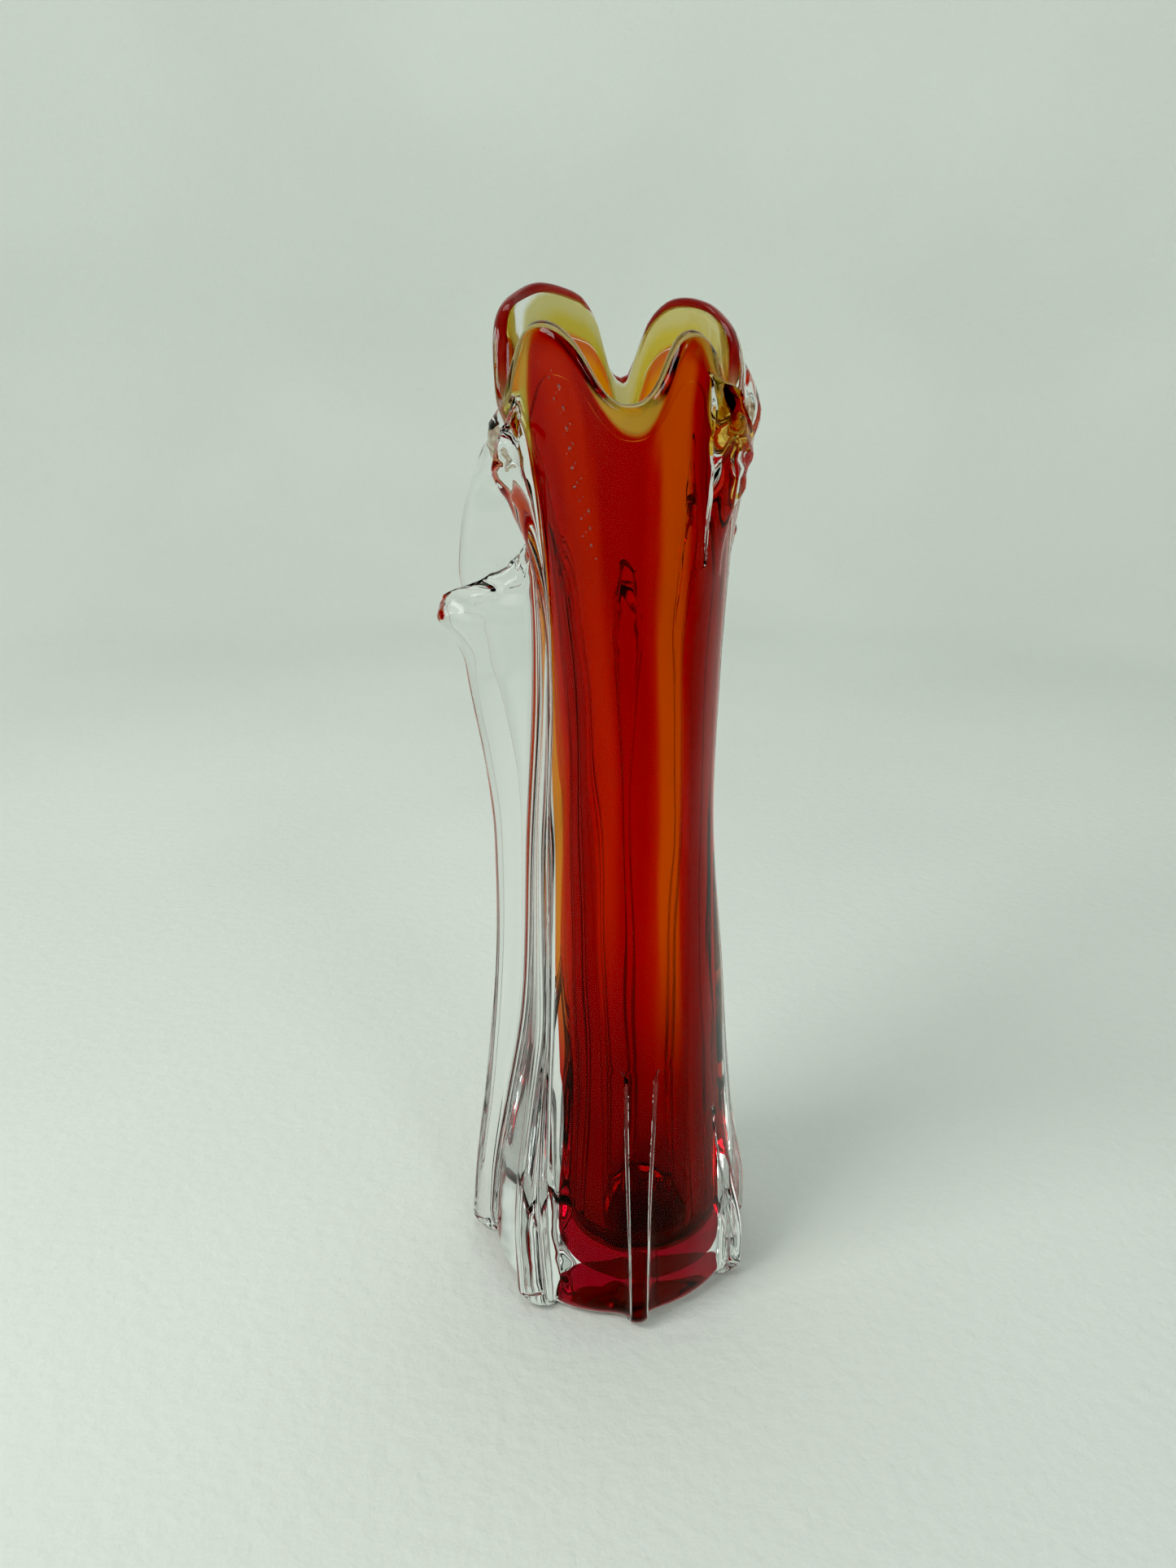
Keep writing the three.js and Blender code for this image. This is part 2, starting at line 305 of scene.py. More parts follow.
@dataclass(frozen=True)
class EdgeFinish:
    """The glass along the mouth: a red line at the back lobes, and at the front a pale line that is partly
    pale glass and partly a painted highlight along the lip.
    """

    thin: Colour = (0.66, 0.07, 0.06)
    thick: Colour = (0.50, 0.03, 0.03)
    # the front's pale colour: partly the lip's own straw glass, partly a painted highlight along the lip
    lip: Colour = (0.95, 0.84, 0.40)

    def material(self) -> bpy.types.Material:
        """Makes the material and returns it."""
        s = Shader("crimson_glass")
        cloud = s.noise(s.position(), 45.0, 1.0)
        back = s.math("ABSOLUTE", s.azimuth()).ramp(66.0, 84.0)
        colour = s.mix(cloud.ramp(0.35, 0.65), self.thin, self.thick)
        # towards the front the line turns to the pale lip colour, which is partly a painted highlight
        return s.surface(
            Base_Color=s.mix(back, self.lip, colour), Roughness=0.5, IOR=1.0, Specular_IOR_Level=0.0,
            Transmission_Weight=0.5,
        )


@dataclass(frozen=True)
class SwirlFinish:
    """Glass folded a number of times into light and dark swirls."""

    light: Colour = (0.98, 0.84, 0.22)
    deep: Colour = (0.90, 0.50, 0.06)
    dark: Colour = (0.52, 0.20, 0.08)
    folds: float = 5.0

    def material(self, name: str) -> bpy.types.Material:
        """Makes the material under a given name and returns it."""
        s = Shader(name)
        fold = s.noise(s.position(), 150.0, 1.0)
        turn = s.math("FRACT", fold * self.folds)
        colour = s.ramp(turn, (
            (0.0, self.dark), (0.16, self.deep), (0.4, self.light), (0.62, self.deep), (0.86, self.deep),
            (1.0, self.dark),
        ))
        return s.surface(Base_Color=colour, Roughness=0.0, IOR=1.0, Transmission_Weight=1.0)


@dataclass(frozen=True)
class SeedFinish:
    """Small bubbles of air, which glint."""

    ior: float = 1.7

    def material(self, name: str) -> bpy.types.Material:
        """Makes the material under a given name and returns it."""
        s = Shader(name)
        tint = s.mix(s.noise(s.position(), 400.0, 1.0), (1.0, 0.96, 0.94), (0.94, 0.97, 1.0))
        return s.surface(Base_Color=tint, Roughness=0.0, IOR=self.ior, Transmission_Weight=1.0)


@dataclass(frozen=True)
class PlasterFinish:
    """Pale painted plaster for the floor and the sweep."""

    name: str
    colour: Colour

    def material(self) -> bpy.types.Material:
        """Makes the material and returns it."""
        s = Shader(self.name)
        grain = s.noise(s.position(), 180.0, 3.0)
        patch = s.noise(s.position(), 3.0, 2.0)
        dark = tuple(0.95 * c for c in self.colour)
        return s.surface(
            Base_Color=s.mix(patch.ramp(0.3, 0.7), self.colour, dark), Roughness=0.6, Specular_IOR_Level=0.3,
            Normal=s.bump(grain, 0.0012, 0.6),
        )


# -------- the vase's form


@lru_cache(maxsize=None)
def through(stations: Stations) -> Callable[[float], float]:
    """A smooth curve through pairs of position and value, held at its ends."""
    xs = [s[0] for s in stations]
    ys = [s[1] for s in stations]
    last = len(xs) - 1
    slopes = [
        (ys[min(i + 1, last)] - ys[max(i - 1, 0)]) / (xs[min(i + 1, last)] - xs[max(i - 1, 0)])
        for i in range(len(xs))
    ]

    def curve(position: float) -> float:
        """The value at a position."""
        x = min(max(position, xs[0]), xs[-1])
        i = max(0, min(last - 1, sum(1 for s in xs if s < x) - 1))
        span = xs[i + 1] - xs[i]
        t = (x - xs[i]) / span
        bend = span * t * (1 - t) * ((1 - t) * slopes[i] - t * slopes[i + 1])
        rise = t * t * (3 - 2 * t)
        return ys[i] * (1 - rise) + ys[i + 1] * rise + bend

    return curve


def smooth(low: float, high: float, x: float) -> float:
    """Smooth step of x from 0 at low to 1 at high."""
    t = min(1.0, max(0.0, (x - low) / (high - low)))
    return t * t * (3 - 2 * t)


def directions(azimuth: float) -> tuple[Vector, Vector]:
    """The directions outward and round the vase at an azimuth."""
    a = math.radians(azimuth)
    return Vector((math.sin(a), -math.cos(a), 0)), Vector((math.cos(a), math.sin(a), 0))


@dataclass(frozen=True)
class Form:
    """The form that all the glass shares: its walls before the mouth is pulled, and the pull.

    Attributes:
        mouth_z: top of the wall, where the pull is whole.
        crest_z: top of the rounded lip.
        pull_from: height where the pull starts.
        flat_radius: the ground flat under the foot.
        foot_round: radius of the foot's edge.
        outer: radius of the clear wall's outside at its heights.
        bore: radius of the bubble's outside.
        casing_shift: how far the clear wall's middle lies towards +X.
        casing_advance: how far it lies towards -Y.
        bubble_shift: how far the bubble's middle lies towards +X.
        bubble_advance: how far it lies towards -Y.
        colour_wall: thickness from the bubble's outside to the hollow.
        mouth: azimuth and height of the pulled crest.
    """

    mouth_z: float = 296.0
    crest_z: float = 299.3
    pull_from: float = 205.0
    flat_radius: float = 38.0
    foot_round: float = 6.0
    outer: Stations = (
        (6, 44), (30, 42.6), (60, 38.6), (90, 34.8), (112, 33), (165, 29.5), (215, 28.4), (250, 29.4),
        (280, 32.3), (300, 37),
    )
    bore: Stations = (
        (0, 20.5), (30, 20.3), (60, 19.4), (90, 19), (165, 19), (215, 19.7), (250, 22.6), (270, 25),
        (280, 26.4), (290, 29), (300, 33.2),
    )
    casing_shift: Stations = (
        (0, 0), (40, 1.4), (90, 3.4), (112, 3.5), (165, 2), (215, 3.2), (250, 3.2), (280, 1.4), (300, -1.5),
    )
    casing_advance: Stations = ((0, 4), (40, 3), (112, 0.8), (165, 0))
    bubble_shift: Stations = (
        (0, 8), (40, 8), (90, 7.7), (112, 7), (165, 6), (215, 5.3), (250, 4.4), (270, 2.8), (280, 1.7),
        (290, 0.2), (300, -1.5),
    )
    bubble_advance: Stations = ((0, 8), (40, 6), (112, 2), (165, 0))
    colour_wall: float = 2.2
    mouth: Stations = (
        (-185, 303.2), (-178, 305.8), (-173.6, 313.0), (-169.5, 320.2), (-163.6, 325.6), (-157.5, 328.5),
        (-137, 331), (-119, 328.6), (-100, 324.2), (-90, 318), (-83, 309.5), (-77, 302.5), (-70, 299.6),
        (-63, 303), (-56, 311), (-48, 318), (-40, 320), (-32, 319.2), (-24.5, 316.4), (-18.5, 312.5),
        (-8.8, 304), (-2, 300.2), (4.2, 299.3), (10, 299.9), (15.3, 302.4), (20, 306.7), (24, 312),
        (29, 316.2), (35, 317.6), (41, 316.8), (47, 313.6), (52, 308), (57, 302.6), (63, 300), (71, 301.8),
        (80, 307.3), (90, 313.6), (100, 318.4), (114, 322.7), (125, 325.3), (138, 326.7), (148, 326.3),
        (155, 324), (161, 320.2), (165, 315.2), (169, 309.2), (172, 305.2), (175, 303.2),
    )

    def lift(self, azimuth: float) -> float:
        """Height that a whole pull adds at an azimuth: round lobes between narrower dips."""
        start = self.mouth[0][0]
        crest = through(self.mouth)((azimuth - start) % 360 + start)
        return (crest - self.crest_z) / self.pull(self.crest_z)

    def pull(self, z: float) -> float:
        """Share of the mouth's lift that a height takes."""
        return min(1.1, max(0.0, (z - self.pull_from) / (self.mouth_z - self.pull_from))) ** 2

    def raised(self, z: float, azimuth: float) -> float:
        """The height that the mouth's pull carries a height to at an azimuth."""
        share = self.pull(z)
        return z + share * self.lift(azimuth) if share > 0 else z

    def middle(self, z: float, inside: bool) -> Vector:
        """Middle of the casing's section, or of the bubble's, at a height."""
        if inside:
            return Vector((through(self.bubble_shift)(z), -through(self.bubble_advance)(z), 0))
        return Vector((through(self.casing_shift)(z), -through(self.casing_advance)(z), 0))


@dataclass(frozen=True)
class Rib:
    """One strand of clear glass drawn up the wall, as stations of height and value.

    Attributes:
        name: the strand's place round the vase.
        azimuths: where its middle is.
        reach: how far it stands out of the wall.
        thick: half of the blade's thickness.
        lift: how far its edge is drawn up.
        torn: how rough its surface is.
        fillet: radius that joins it to the wall.
    """

    name: str
    azimuths: Stations
    reach: Stations
    thick: Stations
    lift: Stations = ((0, 0), (1, 0))
    torn: Stations = ((0, 0), (1, 0))
    fillet: float = 3.4


RIBS = (
    Rib(
        "back", ((0, -171), (165, -172), (290, -172)),
        ((0, 8), (60, 5), (110, 4), (165, 3), (205, 5), (216, 11), (222, 14), (227, 12), (232, 5), (242, 0)),
        ((0, 4), (60, 3), (200, 3), (222, 5), (240, 3)),
        ((0, 0), (205, 0), (222, 5), (235, 5), (250, 0)),
        ((0, 0), (208, 0), (222, 1.4), (236, 0.8), (250, 0)),
    ),
    Rib(
        "back_left", ((0, -134), (165, -121), (250, -108), (290, -101)),
        (
            (0, 9), (60, 11), (112, 12), (165, 14), (205, 20), (228, 25.5), (239.5, 28.7), (247, 27.5),
            (257, 24), (263, 20.5), (266, 18), (270, 14), (275, 10), (279, 6), (282, 2), (285, 0),
        ),
        ((0, 4.6), (60, 3.4), (165, 3), (240, 2.6), (256, 2.8), (262, 4.2), (270, 5.4), (277, 4.8), (285, 3)),
        ((0, 0), (255, 0), (270, 2), (285, 2)), ((0, 0), (252, 0), (264, 0.7), (276, 1.2), (285, 0)),
    ),
    Rib(
        "left", ((0, -95), (165, -91), (235, -86), (290, -76)),
        (
            (0, 9.6), (31, 9.7), (60, 10.9), (91, 12.5), (123, 12.3), (145, 12.6), (168, 13.8), (190, 17.4),
            (201, 19.7), (214, 22.2), (221, 23.3), (226, 25.7), (230, 28.8), (233.5, 30.2), (237, 28.6),
            (240, 23), (243, 14), (246, 7.5), (250, 3.5), (256, 0),
        ),
        ((0, 5.4), (60, 4.2), (165, 3.6), (215, 3.8), (228, 5.4), (235, 6.2), (243, 5), (252, 3)),
        ((0, 0), (215, 0), (233, 1.5), (256, 3)),
        ((0, 0), (222, 0), (232, 0.8), (240, 2.6), (248, 2), (256, 0)),
    ),
    Rib(
        "front_left", ((0, -38), (60, -50), (112, -58), (165, -62), (250, -64), (290, -62)),
        (
            (0, 6.4), (40, 6), (70, 4), (100, 1.8), (165, 1), (235, 1.2), (258, 3.5), (270, 8), (277, 10),
            (282, 8), (286, 4), (291, 0),
        ),
        ((0, 6.2), (30, 5.8), (90, 4.4), (165, 4.4), (240, 4), (270, 4.6), (280, 5), (290, 3)),
        ((0, 0), (262, 0), (278, 4), (291, 4)), ((0, 0), (262, 0), (275, 1.8), (285, 2.2), (291, 0)),
    ),
    Rib(
        "front", ((0, 9), (84, 7), (290, 6)),
        ((0, 6), (14, 5), (40, 2.4), (60, 1), (80, 0.3), (92, 0)), ((0, 3), (40, 4), (90, 6)), fillet=7.0,
    ),
    Rib(
        "front_right", ((0, 64), (60, 60), (165, 57), (250, 53), (290, 50)),
        (
            (0, 6), (20, 6), (40, 3), (56, 0.8), (72, 0), (250, 0), (262, 2), (272, 7), (280, 9.5), (285, 9),
            (289, 6), (292, 0),
        ),
        ((0, 4.6), (60, 4.2), (165, 4.4), (240, 4.6), (266, 6), (276, 8), (285, 8), (292, 6)),
        ((0, 0), (258, 0), (276, 4), (284, 5), (292, 1)),
        ((0, 0), (262, 0), (276, 1.6), (286, 1.8), (292, 0)),
        fillet=4.2,
    ),
    Rib(
        "right", ((0, 101), (165, 97), (290, 92)),
        (
            (0, 6), (20, 5.5), (50, 2), (90, 1), (165, 0.5), (210, 0.5), (250, 1.2), (264, 3), (274, 5),
            (282, 6.5), (286, 5.5), (290, 3), (293, 0),
        ),
        ((0, 4.6), (60, 4), (165, 3.8), (255, 3.8), (280, 5.6), (293, 4)),
        ((0, 0), (262, 0), (282, 3), (293, 3)), ((0, 0), (264, 0), (280, 1), (293, 0)), fillet=4.2,
    ),
    Rib(
        "back_right", ((0, 143), (165, 136), (290, 124)),
        (
            (0, 9), (60, 7), (112, 5.5), (165, 4.5), (225, 6), (238, 9), (246, 13), (250, 14.2), (254, 12),
            (258, 5), (263, 1.5), (272, 0),
        ),
        ((0, 4.6), (60, 3.6), (165, 3.2), (232, 3.4), (248, 5), (262, 3)),
        ((0, 0), (234, 0), (248, 4), (272, 2)), ((0, 0), (236, 0), (250, 1.2), (260, 0.8), (272, 0)),
    ),
)


@dataclass
class Wall:
    """A row of the glass wall's surface before the pull.

    Attributes:
        z: its height.
        radius: its radius.
        inside: whether it belongs to the hollow.
        blade: how much of the ribs' reach it has.
    """

    z: float
    radius: float
    inside: bool = False
    blade: float = 0.0


# -------- pieces


def spun(name: str, profile: list[tuple[float, float]], turns: int, closed: bool) -> bmesh.types.BMesh:
    """Spins a profile about the vase's axis.

    Args:
        name: what is spun, for the log.
        profile: radius and height of each station.
        turns: steps in a full turn.
        closed: whether the last station joins the first.

    Returns:
        The surface, with each point's station and turn on the layers of those names.
    """
    bm = bmesh.new()
    station = bm.verts.layers.int.new("station")
    line = []
    for i, (r, z) in enumerate(profile):
        vert = bm.verts.new((r * MM, 0.0, z * MM))
        vert[station] = i
        line.append(vert)
    pairs = list(zip(line, line[1:])) + ([(line[-1], line[0])] if closed else [])
    edges = [bm.edges.new(pair) for pair in pairs]
    bmesh.ops.spin(
        bm, geom=line + edges, cent=(0, 0, 0), axis=(0, 0, 1), dvec=(0, 0, 0), angle=math.tau, steps=turns,
        use_merge=True, use_normal_flip=False, use_duplicate=False,
    )
    turn = bm.verts.layers.int.new("turn")
    for vert in bm.verts:
        vert[turn] = round(math.atan2(vert.co.y, vert.co.x) / math.tau * turns) % turns
    log.info("%s: %d points", name, len(bm.verts))
    return bm


def mesh_object(name: str, bm: bmesh.types.BMesh, material: bpy.types.Material) -> bpy.types.Object:
    """Makes a smooth mesh object from a bmesh, which is freed, and puts it in the scene."""
    for face in bm.faces:
        face.smooth = True
    mesh = bpy.data.meshes.new(name)
    bm.to_mesh(mesh)
    bm.free()
    mesh.materials.append(material)
    made = bpy.data.objects.new(name, mesh)
    bpy.context.scene.collection.objects.link(made)
    return made


def finish_piece(
    name: str, bm: bmesh.types.BMesh, material: bpy.types.Material, nodes: tuple[str, ...],
) -> bpy.types.Object:
    """Turns a bmesh into a finished piece of the vase.

    Args:
        name: the piece's name.
        bm: its surface in metres; it is freed.
        material: its finish.
        nodes: the frame's nodes that it stands for.

    Returns:
        The object.
    """
    bmesh.ops.recalc_face_normals(bm, faces=bm.faces[:])
    piece = mesh_object(name, bm, material)
    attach(piece, "root")
    if nodes:
        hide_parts(*nodes)
    log.info("piece %s: %d faces", name, len(piece.data.polygons))
    return piece


@dataclass
class FusedGlass:
    """The clear glass: the casing with its foot, mouth and hollow, and the ribs that are fused to it.

    Attributes:
        form: the form that all the glass shares.
        ribs: the strands.
        finish: its finish.
        blade_points: points across a rib.
        gap_points: points of the wall between two ribs.
        hollow_floor: height of the hollow's floor.
        hollow_round: radius of the hollow's bottom corner.
        hollow_steps: rows down the hollow's wall.
        ripple: depth of the wall's unevenness.
        web: a blade's half thickness near its root, as a share of its crown's.
        foot_steps: rows round the foot's edge, and round the hollow's corner.
        wall_step: height between two rows below the pull.
        pull_step: the same in the pull.
        lip_steps: rows over the rounded lip.
        ripple_round: turns of that unevenness, as noise units for the radius.
        ripple_rise: height of one noise unit.
        share: most of the way to the next rib that a rib covers.
        widest: sine of the largest half angle that a rib's root covers.
        skirt: where across a rib its fillet ends and its flank starts, from 0 at the root.
        crown: where its flank ends and its rounded edge starts.
        hub: radius inside which the foot has no ribs.
        tear: how far a torn surface strays for each millimetre of roughness.
        grain: noise units for a millimetre across, outward and up a torn surface.
    """

    form: Form
    ribs: tuple[Rib, ...] = RIBS
    finish: ClearFinish = field(default_factory=ClearFinish)
    blade_points: int = 26
    gap_points: int = 10
    hollow_floor: float = 12.0
    hollow_round: float = 13.0
    hollow_steps: int = 64
    foot_steps: int = 8
    wall_step: float = 3.0
    pull_step: float = 1.1
    lip_steps: int = 14
    ripple: float = 0.5
    ripple_round: float = 2.2
    ripple_rise: float = 60.0
    web: float = 0.72
    share: float = 0.46
    widest: float = 0.33
    skirt: float = 0.3
    crown: float = 0.6
    hub: float = 20.0
    tear: float = 1.6
    grain: Point = (0.22, 0.16, 0.2)

    def rows(self) -> list[Wall]:
        """The rows of the surface: the flat, up the wall, over the mouth and down the hollow."""
        f = self.form
        outer = through(f.outer)
        rows = [Wall(0, r) for r in (0.0, 14.0, 28.0, 35.0)]
        for i in range(self.foot_steps + 1):
            a = i / self.foot_steps * math.pi / 2
            radius = f.flat_radius + f.foot_round * math.sin(a)
            rows.append(Wall(f.foot_round * (1 - math.cos(a)), radius, blade=math.sin(a) ** 0.6))
        z = f.foot_round
        while z < f.mouth_z - 0.5:
            z = min(z + (self.wall_step if z < f.pull_from else self.pull_step), f.mouth_z)
            rows.append(Wall(z, outer(z), blade=1.0))
        lip = (outer(f.mouth_z) - self.hollow_radius(f.mouth_z)) / 2
        middle = outer(f.mouth_z) - lip
        for i in range(1, self.lip_steps):
            a = i / self.lip_steps * math.pi
            z = f.mouth_z + (f.crest_z - f.mouth_z) * math.sin(a)
            rows.append(Wall(z, middle + lip * math.cos(a), blade=max(0.0, math.cos(a)) ** 2))
        corner = self.hollow_floor + self.hollow_round
        for i in range(self.hollow_steps + 1):
            z = f.mouth_z + (corner - f.mouth_z) * i / self.hollow_steps
            rows.append(Wall(z, self.hollow_radius(z), inside=True))
        for i in range(1, self.foot_steps + 1):
            a = i / self.foot_steps * math.pi / 2
            r = self.hollow_radius(corner) - self.hollow_round * (1 - math.cos(a))
            rows.append(Wall(corner - self.hollow_round * math.sin(a), r, inside=True))
        rows += [Wall(self.hollow_floor, r, inside=True) for r in (5.0, 0.0)]
        return rows

    def hollow_radius(self, z: float) -> float:
        """Radius of the hollow at a height."""
        return through(self.form.bore)(z) - self.form.colour_wall

    def section(self, row: Wall) -> list[Vector]:
        """Points round one row in millimetres, in the order of the spin's turns."""
        middle = self.form.middle(row.z, row.inside)
        points: list[Vector] = []
        middles = [through(rib.azimuths)(row.z) for rib in self.ribs]
        middles.append(middles[0] + 360)
        widths = [self.root_angle(rib, row) for rib in self.ribs]
        for i in range(len(self.ribs)):
            for j in (i - 1, i + 1):
                other = j % len(self.ribs)
                apart = abs((middles[other] - middles[i] + 180) % 360 - 180)
                widths[i] = min(widths[i], apart * self.share)
        widths.append(widths[0])
        for i, rib in enumerate(self.ribs):
            for k in range(self.blade_points):
                s = 2 * k / (self.blade_points - 1) - 1
                points.append(middle + self.blade_point(rib, row, middles[i], s, widths[i]))
            start, end = middles[i] + widths[i], middles[i + 1] - widths[i + 1]
            for k in range(1, self.gap_points + 1):
                a = start + (end - start) * k / (self.gap_points + 1)
                points.append(middle + self.wall_point(a, row))
        return points

    def root_angle(self, rib: Rib, row: Wall) -> float:
        """Half of the angle that a blade's root covers on a row, in degrees."""
        half = through(rib.thick)(row.z) + rib.fillet
        return math.degrees(math.asin(half / max(row.radius, half / self.widest)))

    def blade_point(self, rib: Rib, row: Wall, azimuth: float, s: float, width: float) -> Vector:
        """A point of a rib's blade, from the middle of the row.

        Args:
            rib: the rib.
            row: the row of the wall.
            azimuth: the blade's middle there.
            s: from -1 at one root to 1 at the other.
            width: half of the angle that the root covers.

        Returns:
            The point.
        """
        reach = max(0.0, through(rib.reach)(row.z)) * row.blade
        if reach < 0.01 or row.radius < self.hub or row.inside:
            return self.wall_point(azimuth + s * width, row)
        thick, fillet = through(rib.thick)(row.z), rib.fillet
        crown, web = thick, thick * self.web
        full = max(reach, fillet + crown)
        q = 1 - abs(s)
        if q < self.skirt:
            a = q / self.skirt * math.pi / 2
            across, out = web + fillet * (1 - math.sin(a)), fillet * (1 - math.cos(a))
        elif q < self.crown:
            t = (q - self.skirt) / (self.crown - self.skirt)
            across, out = web + (crown - web) * smooth(0, 1, t), fillet + (full - crown - fillet) * t
        else:
            a = (q - self.crown) / (1 - self.crown) * math.pi / 2
            across, out = crown * math.cos(a), full - crown + crown * math.sin(a)
        out *= min(1.0, reach / (fillet + crown))
        tip = out / reach
        narrow = min(1.0, row.radius * math.sin(math.radians(width)) / (thick + fillet))
        across *= 1 - (1 - narrow) * (1 - tip)
        side = math.copysign(across, s)
        angle = math.radians(azimuth) + math.atan2(side, row.radius)
        radial, along = directions(azimuth)
        sunk = math.sqrt(max(row.radius ** 2 - side * side, 1.0))
        torn = through(rib.torn)(row.z) * smooth(0.1, 0.6, tip)
        if torn > 0.01:
            at = Vector([m * g for m, g in zip((side, out, row.z), self.grain)]) + Vector((azimuth, 0, 0))
            out += torn * noise.noise(at) * self.tear
            side += torn * noise.noise(at + Vector((7, 3, 1))) * self.tear
        lift = through(rib.lift)(row.z) * tip * tip
        point = radial * (sunk + out + self.ripple_at(angle, row) * (1 - tip)) + along * side
        return Vector((point.x, point.y, self.form.raised(row.z, math.degrees(angle)) + lift))

    def ripple_at(self, angle: float, row: Wall) -> float:
        """The wall's slow unevenness, which hot glass keeps."""
        if row.inside or row.z < 1:
            return 0.0
        turns = self.ripple_round
        at = Vector((math.sin(angle) * turns, math.cos(angle) * turns, row.z / self.ripple_rise))
        return self.ripple * noise.noise(at) * min(1.0, row.z / 20)

    def wall_point(self, azimuth: float, row: Wall) -> Vector:
        """A point of the plain wall between the ribs, from the middle of the row."""
        a = math.radians(azimuth)
        r = row.radius + self.ripple_at(a, row) * min(1.0, row.radius / 30)
        return Vector((r * math.sin(a), -r * math.cos(a), self.form.raised(row.z, azimuth)))

    def build(self) -> bpy.types.Object:
        """Builds the piece and returns its object."""
        rows = self.rows()
        turns = len(self.ribs) * (self.blade_points + self.gap_points)
        bm = spun("clear glass", [(r.radius, r.z) for r in rows], turns, closed=False)
        station, turn = bm.verts.layers.int["station"], bm.verts.layers.int["turn"]
        places = [self.section(row) for row in rows]
        for vert in bm.verts:
            vert.co = places[vert[station]][vert[turn]] * MM
        for row in (0, len(rows) - 1):
            ring = [v for v in bm.verts if v[station] == row]
            bmesh.ops.pointmerge(bm, verts=ring, merge_co=sum((v.co for v in ring), Vector()) / len(ring))
        nodes = ("clear_casing",) + tuple(f"rib_{rib.name}" for rib in self.ribs)
        return finish_piece("clear_glass", bm, self.finish.material(), nodes)


@dataclass
class ColourShell:
    """A closed shell of coloured glass inside the clear glass.

    Attributes:
        form: the form that all the glass shares.
        turns: steps in a full turn.
        gold_depth: azimuth, and how far the yellow reaches below the crest there.
        clear_depth: azimuth, and how far colourless glass does.
        blur: depth over which one gives way to the other.
    """

    form: Form
    turns: int = 180
    gold_depth: Stations = (
        (-180, 14), (-125, 14), (-105, 18), (-90, 22), (-76, 20), (-64, 12), (-54, 6), (-44, 2.2), (-36, 1.6),
        (-25, 3.2), (-9, 5.2), (4, 7), (12, 7), (20, 5), (27, 3.2), (34, 2.4), (42, 3.6), (50, 6), (62, 10),
        (90, 13), (130, 13), (180, 14),
    )
    clear_depth: Stations = (
        (-180, 3), (-125, 4), (-108, 8), (-92, 16), (-78, 15), (-66, 7), (-56, 3), (-44, 1.2), (-9, 2),
        (8, 3), (20, 2), (36, 1.2), (60, 2), (180, 3),
    )
    blur: float = 8.0

    def shell(self, name: str, profile: list[tuple[float, float]], closed: bool) -> bmesh.types.BMesh:
        """Spins a profile, carries it to the bubble's middle and pulls its mouth.

        The points keep the height before the pull as rise, the direction from the middle as east and south,
        and how far the yellow and the clear glass of the mouth reach as gold and clear.
        """
        bm = spun(name, profile, self.turns, closed)
        layers = {key: bm.verts.layers.float.new(key) for key in ("rise", "east", "south", "gold", "clear")}
        for vert in bm.verts:
            z = vert.co.z / MM
            azimuth = math.degrees(math.atan2(vert.co.x, -vert.co.y))
            raised = self.form.raised(z, azimuth)
            depth = self.form.raised(self.form.crest_z, azimuth) - raised
            radius = max(math.hypot(vert.co.x, vert.co.y), 1e-9)
            vert[layers["rise"]] = z
            vert[layers["east"]] = vert.co.x / radius
            vert[layers["south"]] = -vert.co.y / radius
            vert[layers["gold"]] = 0.5 + (through(self.gold_depth)(azimuth) - depth) / self.blur
            vert[layers["clear"]] = 0.5 + (through(self.clear_depth)(azimuth) - depth) / self.blur
            vert.co += self.form.middle(z, True) * MM
            vert.co.z = raised * MM
        bmesh.ops.remove_doubles(bm, verts=bm.verts[:], dist=1e-6)
        return bm


@dataclass
class ColourBubble(ColourShell):
    """The red and orange bubble round the hollow."""

    finish: ColourFinish = field(default_factory=ColourFinish)
    floor_z: float = 3.0
    round_outside: float = 9.0
    round_inside: float = 12.0
    top_z: float = 290.0
    inner_floor_z: float = 11.4
    inner_inset: float = 1.7
    wall_steps: int = 80

    def cup(self, floor: float, inset: float, rounding: float) -> list[tuple[float, float]]:
        """Half of the profile, from the axis at the floor, round a corner and up, inset from the outside."""
        bore = through(self.form.bore)
        start = floor + rounding
        wall = bore(start) - inset
        line = [(0.0, floor), (wall * 0.3, floor)]
        for i in range(9):
            a = i / 8 * math.pi / 2
            line.append((wall - rounding * (1 - math.sin(a)), start - rounding * math.cos(a)))
        climb = (self.top_z - start) / self.wall_steps
        heights = (start + climb * i for i in range(1, self.wall_steps + 1))
        return line + [(bore(z) - inset, z) for z in heights]

    def build(self) -> bpy.types.Object:
        """Builds the piece and returns its object."""
        inner = self.cup(self.inner_floor_z, self.inner_inset, self.round_inside)
        profile = self.cup(self.floor_z, 0.0, self.round_outside) + inner[::-1]
        bm = self.shell("colour bubble", profile, closed=False)
        material = self.finish.material("red_glass")
        return finish_piece("colour_bubble", bm, material, ("colour_bubble",))


@dataclass
class YellowCollar(ColourShell):
    """The yellow band that carries the bubble's wall on to the mouth, with the tips of the red flames."""

    finish: ColourFinish = field(default_factory=ColourFinish)
    bottom_z: float = 290.15
    top_z: float = 297.6
    inset: float = 1.7

    def build(self) -> bpy.types.Object:
        """Builds the piece and returns its object."""
        bore = through(self.form.bore)
        heights = [self.bottom_z + (self.top_z - self.bottom_z) * i / 10 for i in range(11)]
        profile = [(bore(z), z) for z in heights] + [(bore(z) - self.inset, z) for z in reversed(heights)]
        bm = self.shell("yellow collar", profile, closed=True)
        material = self.finish.material("yellow_glass")
        return finish_piece("yellow_collar", bm, material, ("yellow_collar",))


